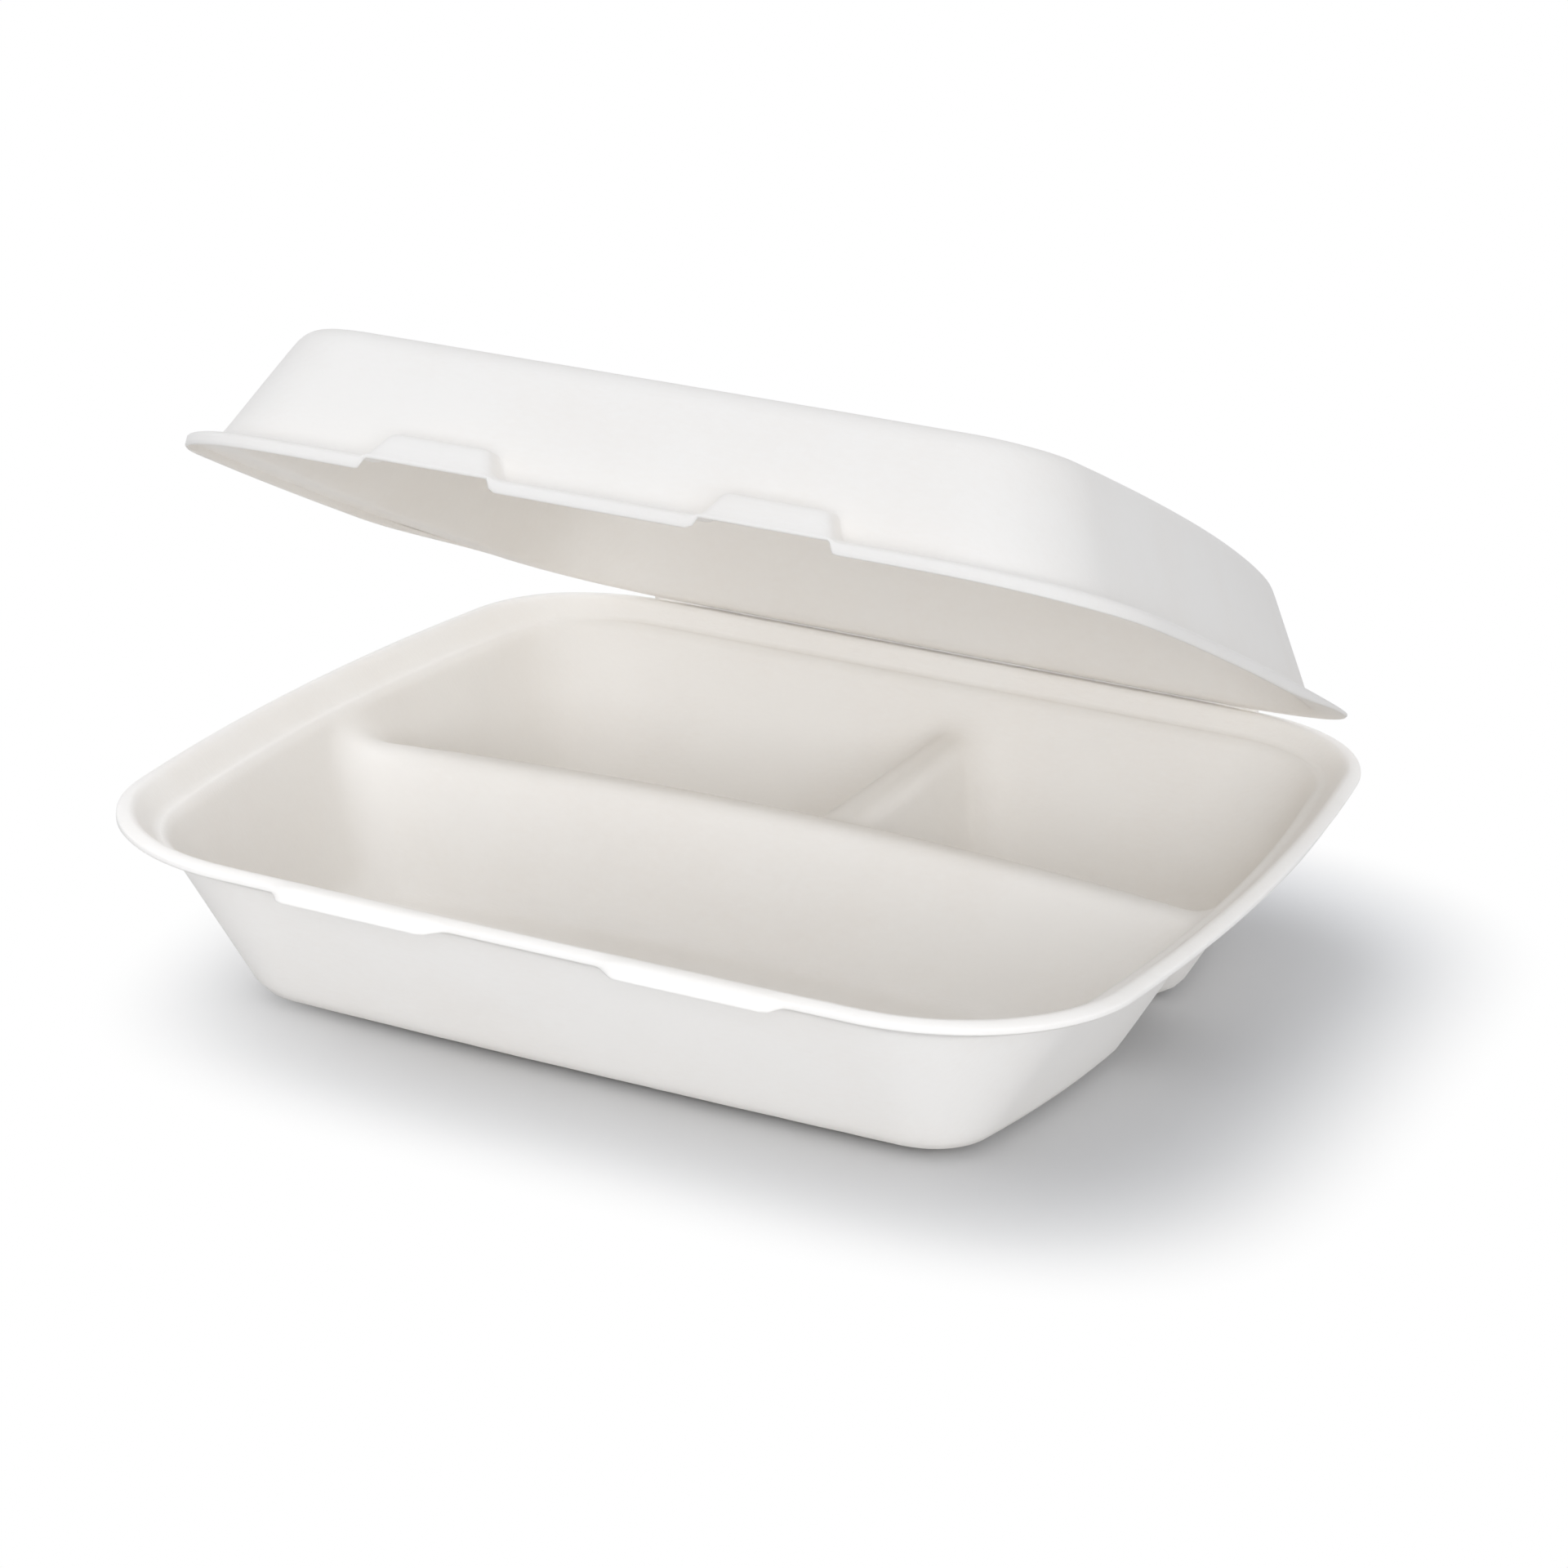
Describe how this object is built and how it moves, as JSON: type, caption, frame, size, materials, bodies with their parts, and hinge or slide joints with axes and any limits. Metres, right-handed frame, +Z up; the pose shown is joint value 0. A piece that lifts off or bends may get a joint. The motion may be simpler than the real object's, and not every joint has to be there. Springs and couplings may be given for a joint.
{
  "type": "sugarcane pulp clamshell food container",
  "caption": "Moulded pulp takeaway box with a divided tray, a hinged domed lid and locking tongues at the front.",
  "frame": {"origin": "on the standing surface, under the middle of the footprint as the container stands open", "axes": "+X along the hinge to the right as seen from the front, +Y from the front tongues to the hinge, +Z up"},
  "size_m": [0.23, 0.2192, 0.1423],
  "materials": {
    "pulp_tray": "matt moulded pulp",
    "pulp_lid": "matt moulded pulp"
  },
  "bodies": {
    "tray": {"base_tray": "pulp_tray"},
    "cover": {"lid": "pulp_lid"}
  },
  "joints": [
    {"name": "lid_hinge", "type": "hinge", "parent": "tray", "child": "cover", "pos_m": [0, 0.1095, 0.04195], "axis": [-1, 0, 0], "range_deg": [-23, 157]}
  ]
}
